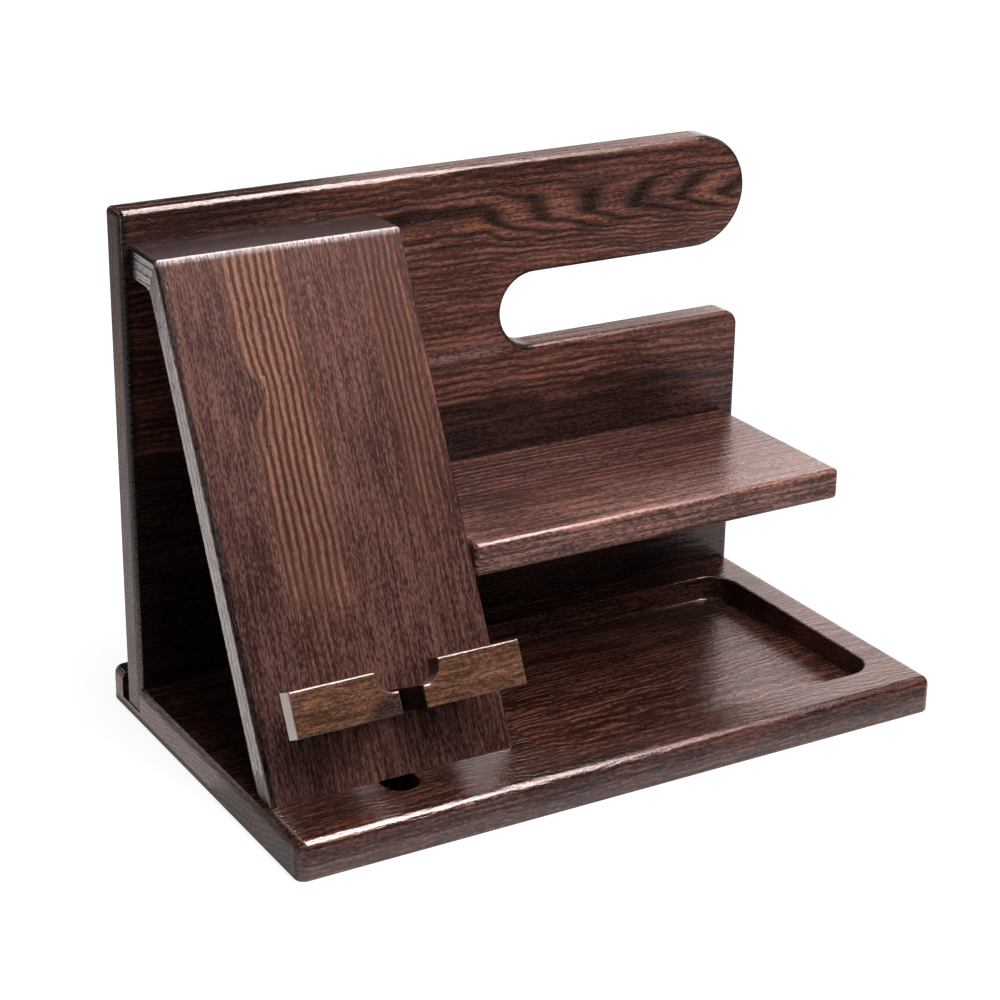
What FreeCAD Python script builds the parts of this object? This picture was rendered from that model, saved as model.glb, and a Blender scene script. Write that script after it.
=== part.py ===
# Wooden docking station for a bedside or hall table.
#
# A thick base with a routed tray carries an upright back panel, whose slot and round-ended
# arm take a watch strap. A sloping plate with a split ledge holds a phone, and a shelf
# stands out from the panel above the tray.
#
# Millimetres. +X runs along the base to the right, +Y to the back and +Z up.
# The origin is the middle of the base's underside.

import FreeCAD
import Part

import math
import os

from FreeCAD import Vector

# Base board
BASE_LENGTH = 280.0
BASE_DEPTH = 169.5
BASE_THICKNESS = 15.0
BASE_TOP_ROUND = 3.6
BASE_BOTTOM_ROUND = 1.0
BASE_CORNER_EXTRA = 0.5

# Groove across the base for the back panel, wider than the panel
GROOVE_FLOOR = 4.5
GROOVE_SPARE_WIDTH = 3.7
GROOVE_BACK_STRIP = 11.0

# Tray routed into the base
TRAY_FLOOR = 4.5
TRAY_END_RIM = 14.4
TRAY_FRONT_RIM = 17.8
TRAY_BACK_RIM = 15.2
TRAY_TO_PLATE = 8.6
TRAY_CORNER_RADIUS = 12.0
TRAY_FLOOR_ROUND = 1.5
TRAY_RIM_ROUND = 0.8

# Cable channel routed into the base, passing under the foot of the phone plate
CHANNEL_WIDTH = 14.5
CHANNEL_FLOOR = 4.5
CHANNEL_AHEAD_OF_FOOT = 10.8
CHANNEL_BEHIND_FOOT = 16.0

# Back panel, with a slot for a watch strap below a round-ended arm
PANEL_THICKNESS = 13.2
PANEL_TOP_HEIGHT = 206.3
PANEL_END_INSET = 0.4
PANEL_ROUND = 2.2
ARM_HEIGHT = 47.0
SLOT_HEIGHT = 30.6
SLOT_LENGTH = 117.1
SLOT_SHOULDER_RADIUS = 6.5

# Phone plate, and the stand top that joins it to the panel with a mitre
PLATE_WIDTH = 99.8
PLATE_THICKNESS = 11.2
PLATE_END_INSET = 3.6
PLATE_FOOT_SETBACK = 28.8
PLATE_ROUND = 1.4
STAND_TOP_DROP = 12.3
STAND_TOP_LENGTH = 24.3
STAND_TOP_THICKNESS = 12.7
STAND_INNER_RADIUS = 6.0

# Shelf
SHELF_TOP_HEIGHT = 84.5
SHELF_THICKNESS = 13.1
SHELF_DEPTH = 81.6
SHELF_END_INSET = 5.3
SHELF_TO_PLATE = 1.1
SHELF_ROUND = 2.0

# Split ledge on the phone plate: a block with two upright stops in front of it
LEDGE_UP_SLOPE = 23.3
LEDGE_REACH = 20.8
LEDGE_BLOCK_THICKNESS = 8.2
LEDGE_BLOCK_LENGTH = 71.0
LEDGE_LENGTH = 92.4
STOP_THICKNESS = 8.0
STOP_HEIGHT = 16.8
STOP_ROUND = 0.8
CABLE_SLOT_WIDTH = 9.5
CABLE_SLOT_TO_PLATE = 5.0
NOTCH_WIDTH = 25.0
NOTCH_DEPTH = 8.4
NOTCH_RADIUS = 6.5

# Glued dowels
DOWEL_DIAMETER = 6.0
DOWEL_IN_PANEL = 9.0
DOWEL_IN_SHELF = 20.0
DOWEL_IN_STAND_TOP = 12.0
DOWEL_CHAMFER = 0.6
SHELF_DOWEL_INSET = 24.0
STAND_DOWEL_INSET = 20.0
LEDGE_DOWEL_DIAMETER = 4.0
LEDGE_DOWEL_IN_PLATE = 6.5
LEDGE_DOWEL_IN_BLOCK = 13.0
LEDGE_DOWEL_INSET = 14.0
GLUE_LINE = 0.05
GLUE_POCKET = 0.6

# Countersunk screws, driven up through the base
SCREW_DIAMETER = 3.5
SCREW_HEAD_DIAMETER = 7.0
SCREW_HEAD_HEIGHT = 2.0
SCREW_POINT_LENGTH = 4.0
SCREW_SINK = 0.4
SCREW_PLAY = 0.05
CROSS_WIDTH = 1.0
CROSS_LENGTH = 3.8
CROSS_DEPTH = 1.3
PANEL_SCREW_BITE = 20.9
PANEL_SCREW_INSET = 32.0
FOOT_SCREW_BITE = 10.4
FOOT_SCREW_INSET = 20.0
FOOT_SCREW_SETBACK = 8.2

# Working values: how close two places count as one, and how far cutters run past a face
TOUCH = 0.01
OVERRUN = 1.0

# Places that several pieces share
UP = Vector(0, 0, 1)
BACKWARD = Vector(0, 1, 0)
base_left = -BASE_LENGTH / 2
base_right = BASE_LENGTH / 2
base_front = -BASE_DEPTH / 2
base_back = BASE_DEPTH / 2
groove_back = base_back - GROOVE_BACK_STRIP
panel_back = groove_back - GROOVE_SPARE_WIDTH
panel_front = panel_back - PANEL_THICKNESS
panel_left = base_left + PANEL_END_INSET
panel_right = base_right - PANEL_END_INSET
panel_middle_y = (panel_front + panel_back) / 2
plate_left = base_left + PLATE_END_INSET
plate_right = plate_left + PLATE_WIDTH
plate_middle = (plate_left + plate_right) / 2
foot_front = base_front + PLATE_FOOT_SETBACK
stand_top_height = PANEL_TOP_HEIGHT - STAND_TOP_DROP
nose_y = panel_front - STAND_TOP_LENGTH
plate_tilt = math.atan2(nose_y - foot_front, stand_top_height - BASE_THICKNESS)
foot_depth = PLATE_THICKNESS / math.cos(plate_tilt)
foot_back = foot_front + foot_depth
shelf_left = plate_right + SHELF_TO_PLATE
shelf_right = panel_right - SHELF_END_INSET
shelf_front = panel_front - SHELF_DEPTH
shelf_bottom = SHELF_TOP_HEIGHT - SHELF_THICKNESS


def block(low, high):
    """Box between two corners."""
    return Part.makeBox(high.x - low.x, high.y - low.y, high.z - low.z, low)


def lies_at(edge, axis, place):
    """True where the whole edge lies in the plane where axis equals place."""
    low = getattr(edge.BoundBox, axis + "Min")
    high = getattr(edge.BoundBox, axis + "Max")
    return abs(low - place) < TOUCH and abs(high - place) < TOUCH


def runs_along(edge, axis):
    """True for a straight edge that is parallel to an axis."""
    start, end = edge.Vertexes[0].Point, edge.Vertexes[-1].Point
    travel = end - start
    along = getattr(travel, axis.lower())
    return travel.Length > TOUCH and abs(abs(along) - travel.Length) < TOUCH


def rounded(shape, radius, chosen):
    """Round the edges for which chosen(edge) is true."""
    return shape.makeFillet(radius, [edge for edge in shape.Edges if chosen(edge)])


def pocket(left, right, front, back, floor, top, corner_radius):
    """Cutter for a routed recess with round corners, open at the top."""
    cutter = block(Vector(left, front, floor), Vector(right, back, top))
    return rounded(cutter, corner_radius, lambda edge: runs_along(edge, "Z"))


def extruded(edges, travel):
    """Solid made by moving a closed flat outline."""
    return Part.Face(Part.Wire(edges)).extrude(travel)


def outline(points):
    """Straight edges that join points into a closed ring."""
    following = points[1:] + points[:1]
    return [Part.LineSegment(start, end).toShape() for start, end in zip(points, following)]


def on_slope(shape):
    """Stand a shape on the phone plate's front face.

    Before the move, X is where it will be, -Y is the distance out from the face and Z is
    the distance up the slope from the plate's bottom front edge.
    """
    placed = shape.copy()
    placed.rotate(Vector(0, 0, 0), Vector(1, 0, 0), -math.degrees(plate_tilt))
    placed.translate(Vector(0, foot_front, BASE_THICKNESS))
    return placed


def dowel(joint, direction, diameter, depth_behind, depth_ahead):
    """Dowel across a joint; its rear end rests on the bottom of its hole."""
    start = joint - direction * depth_behind
    length = depth_behind + depth_ahead - GLUE_POCKET
    pin = Part.makeCylinder(diameter / 2, length, start, direction)
    rims = [edge for edge in pin.Edges if edge.Closed]
    return pin.makeChamfer(DOWEL_CHAMFER, rims)


def dowel_hole(joint, direction, diameter, depth_behind, depth_ahead):
    """Hole for a dowel, drilled into the pieces on both sides of a joint."""
    start = joint - direction * depth_behind
    return Part.makeCylinder(diameter / 2 + GLUE_LINE, depth_behind + depth_ahead, start, direction)


def turned(profile, x, y, z):
    """Solid of revolution about a vertical line; the profile is (radius, height) pairs."""
    points = [Vector(x + radius, y, z + height) for radius, height in profile]
    return Part.Face(Part.Wire(outline(points))).revolve(Vector(x, y, z), UP, 360)


def screw(x, y, length):
    """Countersunk wood screw standing head down in the base's underside."""
    head = SCREW_HEAD_DIAMETER / 2
    shank = SCREW_DIAMETER / 2
    profile = [
        (0, 0),
        (head, 0),
        (shank, SCREW_HEAD_HEIGHT),
        (shank, length - SCREW_POINT_LENGTH),
        (0, length),
    ]
    body = turned(profile, x, y, SCREW_SINK)
    for long_x, long_y in ((CROSS_LENGTH, CROSS_WIDTH), (CROSS_WIDTH, CROSS_LENGTH)):
        low = Vector(x - long_x / 2, y - long_y / 2, SCREW_SINK - OVERRUN)
        high = Vector(x + long_x / 2, y + long_y / 2, SCREW_SINK + CROSS_DEPTH)
        body = body.cut(block(low, high))
    return body


def screw_hole(x, y, length):
    """Countersunk hole for a screw, through the base and up into the piece it holds."""
    head = SCREW_HEAD_DIAMETER / 2
    shank = SCREW_DIAMETER / 2
    profile = [
        (0, -SCREW_SINK - OVERRUN),
        (head, -SCREW_SINK - OVERRUN),
        (head, 0),
        (shank, SCREW_HEAD_HEIGHT),
        (shank + SCREW_PLAY, SCREW_HEAD_HEIGHT),
        (shank + SCREW_PLAY, length - SCREW_POINT_LENGTH),
        (SCREW_PLAY, length + SCREW_PLAY),
        (0, length + SCREW_PLAY),
    ]
    return turned(profile, x, y, SCREW_SINK)


# Where the dowels and screws stand

shelf_dowel_xs = [
    shelf_left + SHELF_DOWEL_INSET,
    (shelf_left + shelf_right) / 2,
    shelf_right - SHELF_DOWEL_INSET,
]
shelf_dowel_z = SHELF_TOP_HEIGHT - SHELF_THICKNESS / 2
stand_dowel_xs = [plate_left + STAND_DOWEL_INSET, plate_right - STAND_DOWEL_INSET]
stand_dowel_z = stand_top_height - STAND_TOP_THICKNESS / 2
ledge_block_left = plate_middle - LEDGE_BLOCK_LENGTH / 2
ledge_block_right = plate_middle + LEDGE_BLOCK_LENGTH / 2
ledge_dowel_xs = [ledge_block_left + LEDGE_DOWEL_INSET, ledge_block_right - LEDGE_DOWEL_INSET]
ledge_dowel_z = LEDGE_UP_SLOPE + LEDGE_BLOCK_THICKNESS / 2
panel_screw_xs = [
    panel_left + PANEL_SCREW_INSET,
    (panel_left + panel_right) / 2,
    panel_right - PANEL_SCREW_INSET,
]
panel_screw_length = GROOVE_FLOOR - SCREW_SINK + PANEL_SCREW_BITE
foot_screw_xs = [plate_left + FOOT_SCREW_INSET, plate_right - FOOT_SCREW_INSET]
foot_screw_y = foot_front + FOOT_SCREW_SETBACK
foot_screw_length = BASE_THICKNESS - SCREW_SINK + FOOT_SCREW_BITE


def shelf_dowel_parts(make):
    """Dowels, or their holes, between panel and shelf. They run forward out of the panel."""
    return [
        make(Vector(x, panel_front, shelf_dowel_z), -BACKWARD, DOWEL_DIAMETER,
             DOWEL_IN_PANEL, DOWEL_IN_SHELF)
        for x in shelf_dowel_xs
    ]


def stand_dowel_parts(make):
    """Dowels, or their holes, between panel and stand top."""
    return [
        make(Vector(x, panel_front, stand_dowel_z), -BACKWARD, DOWEL_DIAMETER,
             DOWEL_IN_PANEL, DOWEL_IN_STAND_TOP)
        for x in stand_dowel_xs
    ]


def ledge_dowel_parts(make):
    """Dowels, or their holes, between phone plate and ledge block, square to the plate."""
    return [
        on_slope(make(Vector(x, 0, ledge_dowel_z), -BACKWARD, LEDGE_DOWEL_DIAMETER,
                      LEDGE_DOWEL_IN_PLATE, LEDGE_DOWEL_IN_BLOCK))
        for x in ledge_dowel_xs
    ]


def panel_screw_parts(make):
    """Screws, or their holes, from below through the groove's floor into the panel."""
    return [make(x, panel_middle_y, panel_screw_length) for x in panel_screw_xs]


def foot_screw_parts(make):
    """Screws, or their holes, from below through the base into the phone plate's foot."""
    return [make(x, foot_screw_y, foot_screw_length) for x in foot_screw_xs]


def make_base_board():
    """Board with a rounded top edge, a tray, a cable channel and a groove for the panel."""
    board = block(Vector(base_left, base_front, 0), Vector(base_right, base_back, BASE_THICKNESS))
    corner_radius = BASE_TOP_ROUND + BASE_CORNER_EXTRA
    board = rounded(board, corner_radius, lambda edge: runs_along(edge, "Z"))
    board = rounded(board, BASE_TOP_ROUND, lambda edge: lies_at(edge, "Z", BASE_THICKNESS))
    board = rounded(board, BASE_BOTTOM_ROUND, lambda edge: lies_at(edge, "Z", 0))

    top = BASE_THICKNESS + OVERRUN
    tray = pocket(plate_right + TRAY_TO_PLATE, base_right - TRAY_END_RIM,
                  base_front + TRAY_FRONT_RIM, panel_front - TRAY_BACK_RIM,
                  TRAY_FLOOR, top, TRAY_CORNER_RADIUS)
    tray = rounded(tray, TRAY_FLOOR_ROUND, lambda edge: lies_at(edge, "Z", TRAY_FLOOR))
    board = board.cut(tray)
    board = rounded(board, TRAY_RIM_ROUND, lambda edge: lies_at(edge, "Z", BASE_THICKNESS)
                    and edge.BoundBox.XMin > plate_right
                    and edge.BoundBox.XMax < base_right - BASE_TOP_ROUND - TOUCH)

    channel_left = plate_middle - CHANNEL_WIDTH / 2
    channel_right = plate_middle + CHANNEL_WIDTH / 2
    channel = pocket(channel_left, channel_right,
                     foot_front - CHANNEL_AHEAD_OF_FOOT, foot_back + CHANNEL_BEHIND_FOOT,
                     CHANNEL_FLOOR, top, CHANNEL_WIDTH / 2 - TOUCH)
    groove = block(Vector(base_left - OVERRUN, panel_front, GROOVE_FLOOR),
                   Vector(base_right + OVERRUN, groove_back, top))
    for cutter in [channel, groove] + panel_screw_parts(screw_hole) + foot_screw_parts(screw_hole):
        board = board.cut(cutter)
    return board


def make_back_panel():
    """Upright panel standing in the groove, with the watch slot open at its right end."""
    arm_radius = ARM_HEIGHT / 2
    arm_bottom = PANEL_TOP_HEIGHT - ARM_HEIGHT
    slot_bottom = arm_bottom - SLOT_HEIGHT
    slot_radius = SLOT_HEIGHT / 2
    slot_end = panel_right - SLOT_LENGTH
    shoulder = SLOT_SHOULDER_RADIUS
    shoulder_middle = shoulder * (1 - math.sqrt(0.5))

    def point(x, z):
        return Vector(x, panel_front, z)

    def line(start, end):
        return Part.LineSegment(start, end).toShape()

    def arc(start, middle, end):
        return Part.Arc(start, middle, end).toShape()

    bottom_left = point(panel_left, GROOVE_FLOOR)
    top_left = point(panel_left, PANEL_TOP_HEIGHT)
    arm_top = point(panel_right - arm_radius, PANEL_TOP_HEIGHT)
    arm_end = point(panel_right, PANEL_TOP_HEIGHT - arm_radius)
    arm_under = point(panel_right - arm_radius, arm_bottom)
    slot_top = point(slot_end + slot_radius, arm_bottom)
    slot_inner = point(slot_end, arm_bottom - slot_radius)
    slot_foot = point(slot_end + slot_radius, slot_bottom)
    shoulder_start = point(panel_right - shoulder, slot_bottom)
    shoulder_mid = point(panel_right - shoulder_middle, slot_bottom - shoulder_middle)
    shoulder_end = point(panel_right, slot_bottom - shoulder)
    bottom_right = point(panel_right, GROOVE_FLOOR)

    edges = [
        line(bottom_left, top_left),
        line(top_left, arm_top),
        arc(arm_top, arm_end, arm_under),
        line(arm_under, slot_top),
        arc(slot_top, slot_inner, slot_foot),
        line(slot_foot, shoulder_start),
        arc(shoulder_start, shoulder_mid, shoulder_end),
        line(shoulder_end, bottom_right),
        line(bottom_right, bottom_left),
    ]
    panel = extruded(edges, BACKWARD * PANEL_THICKNESS)

    def worn(edge):
        on_face = lies_at(edge, "Y", panel_front) or lies_at(edge, "Y", panel_back)
        top_corner = lies_at(edge, "X", panel_left) and lies_at(edge, "Z", PANEL_TOP_HEIGHT)
        return (on_face and not lies_at(edge, "Z", GROOVE_FLOOR)) or top_corner

    panel = rounded(panel, PANEL_ROUND, worn)
    holes = (shelf_dowel_parts(dowel_hole) + stand_dowel_parts(dowel_hole)
             + panel_screw_parts(screw_hole))
    for hole in holes:
        panel = panel.cut(hole)
    return panel


def make_phone_plate_and_stand_top():
    """Sloping plate and the level board behind its top edge, parted along their mitre."""
    underside = stand_top_height - STAND_TOP_THICKNESS
    inner_y = foot_back + (underside - BASE_THICKNESS) * math.tan(plate_tilt)
    nose = Vector(plate_left, nose_y, stand_top_height)
    inner = Vector(plate_left, inner_y, underside)
    points = [
        Vector(plate_left, foot_front, BASE_THICKNESS),
        nose,
        Vector(plate_left, panel_front, stand_top_height),
        Vector(plate_left, panel_front, underside),
        inner,
        Vector(plate_left, foot_back, BASE_THICKNESS),
    ]
    bent = extruded(outline(points), Vector(PLATE_WIDTH, 0, 0))
    bent = rounded(bent, STAND_INNER_RADIUS, lambda edge: lies_at(edge, "Y", inner_y)
                   and lies_at(edge, "Z", underside))

    def worn(edge):
        on_side = lies_at(edge, "X", plate_left) or lies_at(edge, "X", plate_right)
        on_foot = lies_at(edge, "Z", BASE_THICKNESS)
        on_panel = lies_at(edge, "Y", panel_front)
        on_nose = lies_at(edge, "Y", nose_y) and lies_at(edge, "Z", stand_top_height)
        return (on_side and not on_foot and not on_panel) or on_nose

    bent = rounded(bent, PLATE_ROUND, worn)

    # The mitre runs from the nose to the inner corner. The cutter holds all behind it.
    along = (inner - nose).normalize()
    reach = BASE_DEPTH
    top_point = nose - along * reach
    low_point = nose + along * reach
    side_step = Vector(-OVERRUN, 0, 0)
    behind = [
        top_point + side_step,
        low_point + side_step,
        low_point + side_step + BACKWARD * 2 * reach,
        top_point + side_step + BACKWARD * 2 * reach,
    ]
    behind_mitre = extruded(outline(behind), Vector(PLATE_WIDTH + 2 * OVERRUN, 0, 0))
    plate = bent.cut(behind_mitre)
    stand_top = bent.common(behind_mitre)
    for hole in foot_screw_parts(screw_hole) + ledge_dowel_parts(dowel_hole):
        plate = plate.cut(hole)
    for hole in stand_dowel_parts(dowel_hole):
        stand_top = stand_top.cut(hole)
    return plate, stand_top


def make_shelf_board():
    """Level board standing out from the panel above the tray."""
    shelf = block(Vector(shelf_left, shelf_front, shelf_bottom),
                  Vector(shelf_right, panel_front, SHELF_TOP_HEIGHT))
    shelf = rounded(shelf, SHELF_ROUND, lambda edge: not lies_at(edge, "Y", panel_front))
    for hole in shelf_dowel_parts(dowel_hole):
        shelf = shelf.cut(hole)
    return shelf


def make_ledge_block():
    """Block square to the phone plate, with a round-ended slot for the charging cable."""
    ledge = block(Vector(ledge_block_left, -LEDGE_REACH, LEDGE_UP_SLOPE),
                  Vector(ledge_block_right, 0, LEDGE_UP_SLOPE + LEDGE_BLOCK_THICKNESS))
    slot_left = plate_middle - CABLE_SLOT_WIDTH / 2
    slot_right = plate_middle + CABLE_SLOT_WIDTH / 2
    slot = pocket(slot_left, slot_right,
                  -LEDGE_REACH - CABLE_SLOT_WIDTH, -CABLE_SLOT_TO_PLATE,
                  LEDGE_UP_SLOPE - OVERRUN, LEDGE_UP_SLOPE + LEDGE_BLOCK_THICKNESS + OVERRUN,
                  CABLE_SLOT_WIDTH / 2 - TOUCH)
    ledge = on_slope(ledge.cut(slot))
    for hole in ledge_dowel_parts(dowel_hole):
        ledge = ledge.cut(hole)
    return ledge


def make_ledge_stop(side):
    """Upright stop glued to the front of the ledge block; side is -1 at left, 1 at right.

    The inner end leaves the cable slot open, and its top corner is cut away as half of a
    round-cornered notch.
    """
    inner_x = plate_middle + side * CABLE_SLOT_WIDTH / 2
    outer_x = plate_middle + side * LEDGE_LENGTH / 2
    bottom = LEDGE_UP_SLOPE
    top = LEDGE_UP_SLOPE + STOP_HEIGHT
    front = -LEDGE_REACH - STOP_THICKNESS
    stop = block(Vector(min(inner_x, outer_x), front, bottom),
                 Vector(max(inner_x, outer_x), -LEDGE_REACH, top))
    notch = block(Vector(plate_middle - NOTCH_WIDTH / 2, front - OVERRUN, top - NOTCH_DEPTH),
                  Vector(plate_middle + NOTCH_WIDTH / 2, OVERRUN - LEDGE_REACH, top + NOTCH_RADIUS))
    notch = rounded(notch, NOTCH_RADIUS, lambda edge: runs_along(edge, "Y")
                    and lies_at(edge, "Z", top - NOTCH_DEPTH))
    stop = stop.cut(notch)
    stop = rounded(stop, STOP_ROUND, lambda edge: lies_at(edge, "Y", front))
    return on_slope(stop)


def group(solids):
    """Loose solids that share one node."""
    return Part.makeCompound(solids)


phone_plate, stand_top = make_phone_plate_and_stand_top()

nodes = {
    "base_board": make_base_board(),
    "back_panel": make_back_panel(),
    "phone_plate": phone_plate,
    "stand_top": stand_top,
    "shelf_board": make_shelf_board(),
    "ledge_block": make_ledge_block(),
    "ledge_stop_left": make_ledge_stop(-1),
    "ledge_stop_right": make_ledge_stop(1),
    "shelf_dowels": group(shelf_dowel_parts(dowel)),
    "stand_dowels": group(stand_dowel_parts(dowel)),
    "ledge_dowels": group(ledge_dowel_parts(dowel)),
    "panel_screws": group(panel_screw_parts(screw)),
    "foot_screws": group(foot_screw_parts(screw)),
}

os.makedirs("parts", exist_ok=True)
for name, shape in nodes.items():
    shape.exportStep("parts/" + name + ".step")
    box = shape.BoundBox
    print(name, len(shape.Solids), shape.isValid(), round(shape.Volume, 1),
          [round(value, 2) for value in (box.XMin, box.XMax, box.YMin, box.YMax, box.ZMin, box.ZMax)])
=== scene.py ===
import math

import bpy
from mathutils import Matrix, Vector

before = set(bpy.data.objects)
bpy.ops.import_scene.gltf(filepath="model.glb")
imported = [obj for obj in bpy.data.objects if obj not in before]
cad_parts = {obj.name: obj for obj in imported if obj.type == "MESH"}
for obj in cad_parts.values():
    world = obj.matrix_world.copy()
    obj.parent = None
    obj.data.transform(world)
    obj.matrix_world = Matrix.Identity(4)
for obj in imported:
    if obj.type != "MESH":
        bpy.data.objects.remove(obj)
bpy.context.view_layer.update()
scene = bpy.context.scene

# Camera: about a metre away at the station's front left, looking down on it through a
# long lens, so that the phone plate is nearest.
CAMERA_PLACE = Vector((-0.4651, -0.7685, 0.4448))
CAMERA_AZIMUTH = math.radians(30.25)
CAMERA_DIP = math.radians(21.54)
CAMERA_ROLL = math.radians(0.63)
CAMERA_LENS, CAMERA_FILM = 89.72, 36.0
CAMERA_SHIFT = (0.0136, -0.0066)
CAMERA_NEAR = 0.05

camera = bpy.data.objects.new("camera", bpy.data.cameras.new("camera"))
scene.collection.objects.link(camera)
camera.matrix_world = (
    Matrix.Translation(CAMERA_PLACE)
    @ Matrix.Rotation(-CAMERA_AZIMUTH, 4, "Z")
    @ Matrix.Rotation(math.pi / 2 - CAMERA_DIP, 4, "X")
    @ Matrix.Rotation(CAMERA_ROLL, 4, "Z")
)
camera.data.lens = CAMERA_LENS
camera.data.sensor_width = CAMERA_FILM
camera.data.shift_x, camera.data.shift_y = CAMERA_SHIFT
camera.data.clip_start = CAMERA_NEAR
scene.camera = camera
scene.view_settings.view_transform = "Standard"

# Studio room: a white table under the station and a white room round it. The white shows
# to the camera, in reflections and through glass, and hardly lights the station.
WHITE = (1.0, 1.0, 1.0, 1.0)
AMBIENT = 0.03
FLOOR_SIZE = 12.0
FLOOR_COLOUR = (0.36, 0.36, 0.36, 1.0)
FLOOR_ROUGH, FLOOR_SHINE = 0.9, 0.1
FLOOR_LIFT_NEAR, FLOOR_LIFT_FAR = 0.88, 1.0
LIFT_START, LIFT_END = 0.25, 1.4  # metres from the middle of the table


def seen_directly(tree):
    """1 for what the camera sees, sees mirrored or sees through glass, and 0 for all else."""
    paths = tree.nodes.new("ShaderNodeLightPath")
    total = paths.outputs["Is Camera Ray"]
    for kind in ("Is Glossy Ray", "Is Transmission Ray"):
        both = tree.nodes.new("ShaderNodeMath")
        both.operation = "ADD"
        both.use_clamp = True
        tree.links.new(total, both.inputs[0])
        tree.links.new(paths.outputs[kind], both.inputs[1])
        total = both.outputs[0]
    return total


world = bpy.data.worlds.new("room")
scene.world = world
world.use_nodes = True
room = world.node_tree
room.nodes.clear()
choice = room.nodes.new("ShaderNodeMixShader")
room.links.new(seen_directly(room), choice.inputs["Fac"])
for number, strength in ((1, AMBIENT), (2, 1.0)):
    light = room.nodes.new("ShaderNodeBackground")
    light.inputs["Color"].default_value = WHITE
    light.inputs["Strength"].default_value = strength
    room.links.new(light.outputs[0], choice.inputs[number])
room_output = room.nodes.new("ShaderNodeOutputWorld")
room.links.new(choice.outputs[0], room_output.inputs["Surface"])


def plane(name, centre, across, up):
    """A flat sheet about centre, with half its width and half its height given as vectors."""
    centre, across, up = Vector(centre), Vector(across), Vector(up)
    corners = [centre - across - up, centre + across - up, centre + across + up, centre - across + up]
    mesh = bpy.data.meshes.new(name)
    mesh.from_pydata([tuple(corner) for corner in corners], [], [(0, 1, 2, 3)])
    sheet = bpy.data.objects.new(name, mesh)
    scene.collection.objects.link(sheet)
    return sheet


def graded(tree, value, low, high, bottom, top):
    """A number that goes evenly from bottom to top while value goes from low to high."""
    change = tree.nodes.new("ShaderNodeMapRange")
    for socket, number in zip(("From Min", "From Max", "To Min", "To Max"), (low, high, bottom, top)):
        change.inputs[socket].default_value = number
    tree.links.new(value, change.inputs["Value"])
    return change.outputs["Result"]


floor = plane("table", (0, 0, 0), (FLOOR_SIZE / 2, 0, 0), (0, FLOOR_SIZE / 2, 0))
paper = bpy.data.materials.new("white_paper")
paper.use_nodes = True
tree = paper.node_tree
shader = tree.nodes["Principled BSDF"]
shader.inputs["Base Color"].default_value = FLOOR_COLOUR
shader.inputs["Roughness"].default_value = FLOOR_ROUGH
shader.inputs["Specular IOR Level"].default_value = FLOOR_SHINE
shader.inputs["Emission Color"].default_value = WHITE
places = tree.nodes.new("ShaderNodeTexCoord")
span = tree.nodes.new("ShaderNodeVectorMath")
span.operation = "LENGTH"
tree.links.new(places.outputs["Object"], span.inputs[0])
lift = graded(tree, span.outputs["Value"], LIFT_START, LIFT_END, FLOOR_LIFT_NEAR, FLOOR_LIFT_FAR)
glow = tree.nodes.new("ShaderNodeMath")
glow.operation = "MULTIPLY"
tree.links.new(lift, glow.inputs[0])
tree.links.new(seen_directly(tree), glow.inputs[1])
tree.links.new(glow.outputs[0], shader.inputs["Emission Strength"])
floor.data.materials.append(paper)

# Lamps: two soft boxes, above and in front, light the station without showing in its
# varnish. A glow low on the table at the left shows only in the varnish.
HEART = (0.0, 0.0, 0.09)  # what the soft boxes are turned to
FLOOR_GLOW_PLACE = Vector((-0.31, 0.30, 0.003))
FLOOR_GLOW_COLOUR = (1.0, 0.87, 0.85)


def soft_box(name, place, target, width, height, power):
    """A large square-edged lamp at place, turned to face target."""
    lamp = bpy.data.objects.new(name, bpy.data.lights.new(name, "AREA"))
    lamp.data.shape = "RECTANGLE"
    lamp.data.size, lamp.data.size_y = width, height
    lamp.data.energy = power
    place, target = Vector(place), Vector(target)
    turn = (target - place).to_track_quat("-Z", "Y").to_matrix().to_4x4()
    lamp.matrix_world = Matrix.Translation(place) @ turn
    lamp.visible_camera = False
    scene.collection.objects.link(lamp)
    return lamp


soft_box("top_box", (0.15, -0.42, 1.10), HEART, 0.85, 0.85, 13.5).visible_glossy = False
soft_box("front_box", (0.45, -1.30, 0.95), HEART, 0.7, 0.7, 6.0).visible_glossy = False
straight_up = FLOOR_GLOW_PLACE + Vector((0.0, 0.0, 1.0))
floor_glow = soft_box("floor_glow", FLOOR_GLOW_PLACE, straight_up, 0.34, 0.62, 0.84)
floor_glow.data.color = FLOOR_GLOW_COLOUR
floor_glow.visible_diffuse = False

# Cards round the station, seen only in the varnish. The black ones keep the white room
# out of it; the glowing ones draw the bright lines along the rounded edges and the gleam
# on the flat tops.
CARD_BLACK = (0.02, 0.02, 0.02, 1.0)
WARM_GLOW, EDGE_GLOW = (1.0, 0.84, 0.82, 1.0), (1.0, 0.94, 0.92, 1.0)
FRONT_GLOW = (1.0, 0.95, 0.95, 1.0)
NO_GLOW = ("Z", 0.0, 1.0, 0.0, 0.0)  # axis, from, to, and the glow at each
HALF_GLOW = ("Z", 0.0, 1.0, 0.48, 0.48, FRONT_GLOW)
GRADED_GLOW = ("Z", 0.356, 0.586, 0.0, 0.50)


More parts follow.
